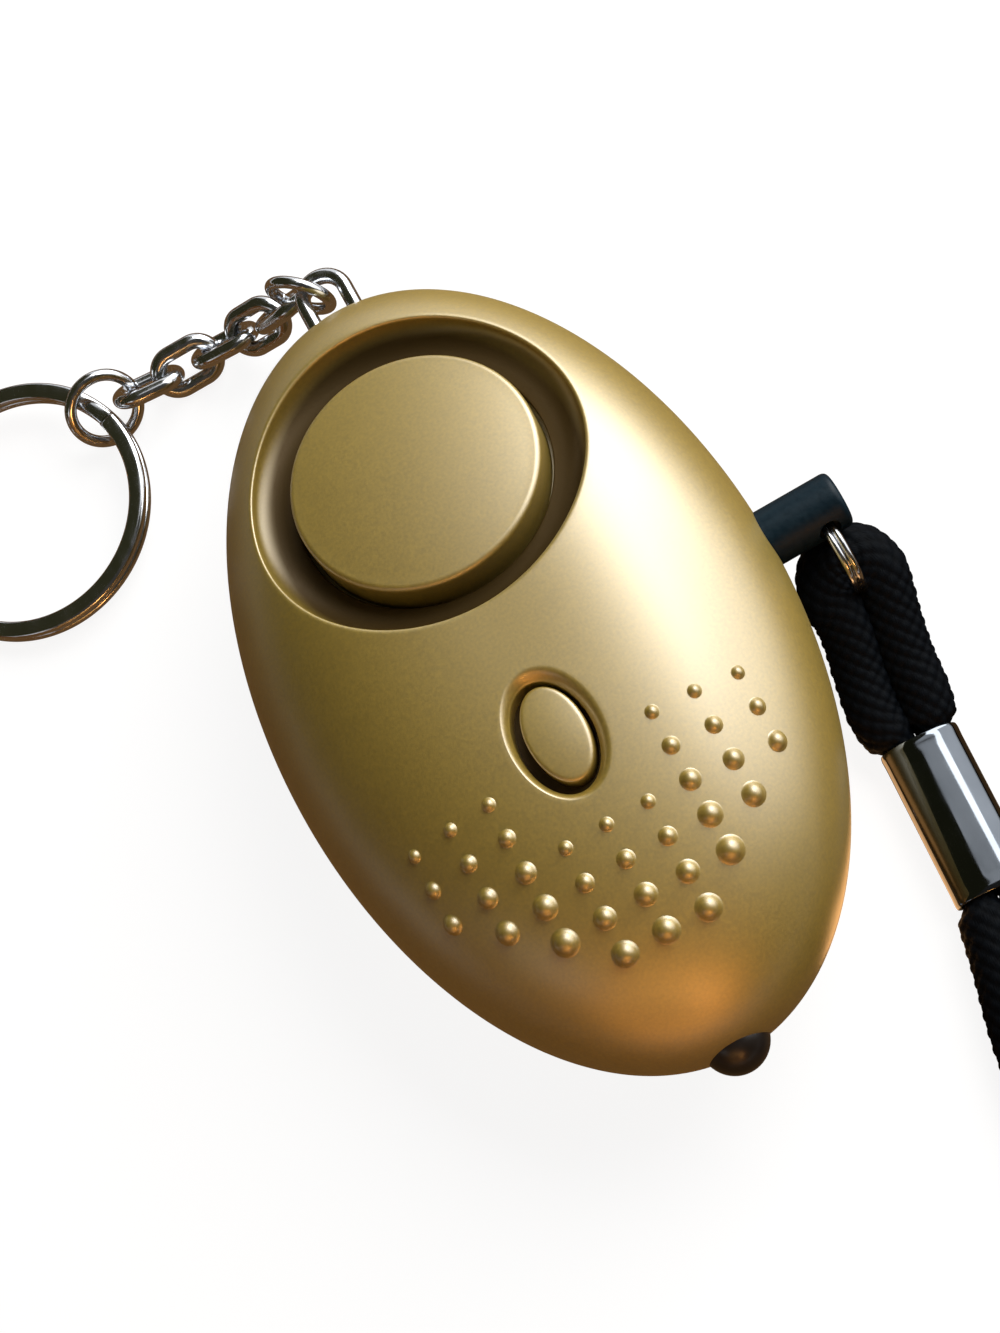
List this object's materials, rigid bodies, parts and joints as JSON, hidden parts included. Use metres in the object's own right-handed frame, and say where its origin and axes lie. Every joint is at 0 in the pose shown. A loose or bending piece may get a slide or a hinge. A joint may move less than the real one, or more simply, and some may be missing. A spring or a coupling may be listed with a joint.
{
  "type": "personal safety alarm",
  "caption": "Egg-shaped personal alarm with a round sounder cap, light button and lamp, a pull pin on a wrist strap, and a chain with a key ring.",
  "frame": {"origin": "centre of the flat oval foot on the back of the case, which lies on the table", "axes": "+Z out of the front, +Y along the case towards the sounder and the chain, +X towards the pull pin"},
  "size_m": [0.0952, 0.113, 0.02],
  "materials": {
    "gold_paint": "champagne gold metallic paint on moulded plastic",
    "chrome": "polished plated steel",
    "black_plastic": "glossy black",
    "cord": "braided black cord",
    "lamp_lens": "smoky clear",
    "brass": "plain",
    "cell_steel": "satin",
    "board": "solder mask",
    "wire_jacket": "plain"
  },
  "bodies": {
    "case": {"front_shell": "gold_paint", "back_shell": "gold_paint", "case_screws": "chrome", "speaker_cap": "gold_paint", "piezo_holder": "black_plastic", "piezo_disc": "brass", "piezo_wires": "wire_jacket", "light_switch": "black_plastic", "circuit_board": "board", "lamp": "lamp_lens", "cell_1": "cell_steel", "cell_2": "cell_steel", "cell_3": "cell_steel", "plus_contact": "brass", "minus_contact": "brass", "pin_jack": "black_plastic", "pin_contacts": "brass", "chain_eyelet": "chrome"},
    "light_button": {"light_button": "gold_paint", "switch_plunger": "black_plastic"},
    "pull_pin": {"pull_pin": "black_plastic", "cord_loop": "cord", "ferrule": "chrome", "wrist_cord": "cord"},
    "pin_ring": {"pin_ring": "chrome"},
    "end_ring": {"end_ring": "chrome"},
    "chain_link_1": {"chain_link_1": "chrome"},
    "chain_link_2": {"chain_link_2": "chrome"},
    "chain_link_3": {"chain_link_3": "chrome"},
    "chain_link_4": {"chain_link_4": "chrome"},
    "chain_link_5": {"chain_link_5": "chrome"},
    "jump_ring": {"jump_ring": "chrome"},
    "key_ring": {"key_ring": "chrome"}
  },
  "joints": [
    {"name": "light_button_press", "type": "slide", "parent": "case", "child": "light_button", "axis": [0, 0, -1], "range_m": [0, 0.0004], "stiffness_N_per_m": 3500},
    {"name": "pull_pin_slide", "type": "slide", "parent": "case", "child": "pull_pin", "axis": [1, 0, 0], "range_m": [0, 0.015]},
    {"name": "pin_ring_swing", "type": "hinge", "parent": "pull_pin", "child": "pin_ring", "pos_m": [0.0229, -0.00133, 0.00831], "axis": [0, 0.766, -0.6428], "range_deg": [-1.5, 4.5]},
    {"name": "end_ring_swing", "type": "hinge", "parent": "case", "child": "end_ring", "pos_m": [-0.0012, 0.0346, 0.009], "axis": [-0.7071, -0.7071, 0], "range_deg": [-10, 10]},
    {"name": "chain_link_1_swing", "type": "hinge", "parent": "end_ring", "child": "chain_link_1", "pos_m": [-0.00256, 0.03583, 0.00628], "axis": [-0.6161, 0.5547, 0.5592], "range_deg": [-10, 10]},
    {"name": "chain_link_2_swing", "type": "hinge", "parent": "chain_link_1", "child": "chain_link_2", "pos_m": [-0.00506, 0.03694, 0.00399], "axis": [-0.689, -0.5318, 0.4924], "range_deg": [-10, 10]},
    {"name": "chain_link_3_swing", "type": "hinge", "parent": "chain_link_2", "child": "chain_link_3", "pos_m": [-0.00802, 0.03784, 0.00234], "axis": [0.1107, -0.7733, -0.6243], "range_deg": [-10, 10]},
    {"name": "chain_link_4_swing", "type": "hinge", "parent": "chain_link_3", "child": "chain_link_4", "pos_m": [-0.01141, 0.03838, 0.00168], "axis": [-0.2439, -0.6773, 0.6941], "range_deg": [-10, 10]},
    {"name": "chain_link_5_swing", "type": "hinge", "parent": "chain_link_4", "child": "chain_link_5", "pos_m": [-0.01491, 0.03838, 0.00174], "axis": [-0.0123, -0.7071, -0.707], "range_deg": [-10, 10]},
    {"name": "jump_ring_swing", "type": "hinge", "parent": "chain_link_5", "child": "jump_ring", "pos_m": [-0.01836, 0.03838, 0.00234], "axis": [0.1228, -0.7071, 0.6964], "range_deg": [-10, 10]},
    {"name": "key_ring_swing", "type": "hinge", "parent": "jump_ring", "child": "key_ring", "pos_m": [-0.02235, 0.0381, 0.00334], "axis": [-0.1472, -0.6275, -0.7646], "range_deg": [-10, 10]}
  ]
}
